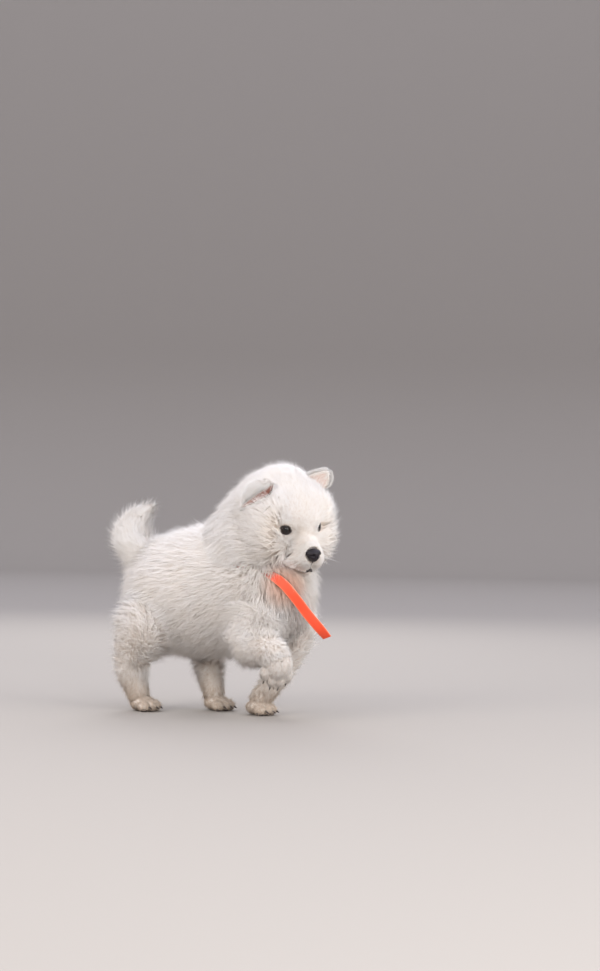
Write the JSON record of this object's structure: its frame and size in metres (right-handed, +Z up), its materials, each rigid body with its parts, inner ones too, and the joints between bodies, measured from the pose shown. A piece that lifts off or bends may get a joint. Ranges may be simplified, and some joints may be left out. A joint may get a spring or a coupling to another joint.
{
  "type": "samoyed puppy",
  "caption": "Still life-size model of a fluffy white spitz puppy at the trot, head turned aside, one forepaw raised, a narrow red ribbon round its neck.",
  "frame": {"origin": "centre of the bounding box on the floor, between the paws", "axes": "+X the way the body heads, +Y to the puppy's left, +Z up"},
  "size_m": [0.3196, 0.1424, 0.3124],
  "materials": {
    "coat": "long soft white fur, cream in its depths",
    "nose": "fine pebbled black leather, moist",
    "eye": "wet, near-black brown",
    "ear": "short velvet fur over thin pink skin",
    "ribbon": "satin weave, orange-red",
    "skin": "dark bare skin of lids and lips",
    "claw": "dark horn",
    "pad": "dark paw pads"
  },
  "bodies": {
    "root": {"head": "coat", "neck": "coat", "tail": "coat", "leg_hind_right": "coat", "paw_hind_right": "coat", "leg_hind_left": "coat", "paw_hind_left": "coat", "leg_front_left": "coat", "paw_front_left": "coat", "leg_front_right": "coat", "paw_front_right": "coat", "torso": "coat", "nose": "nose", "ear_right": "ear", "ear_left": "ear", "eye_right": "eye", "eye_left": "eye", "ribbon_band": "ribbon", "ribbon_end": "ribbon"}
  },
  "joints": []
}
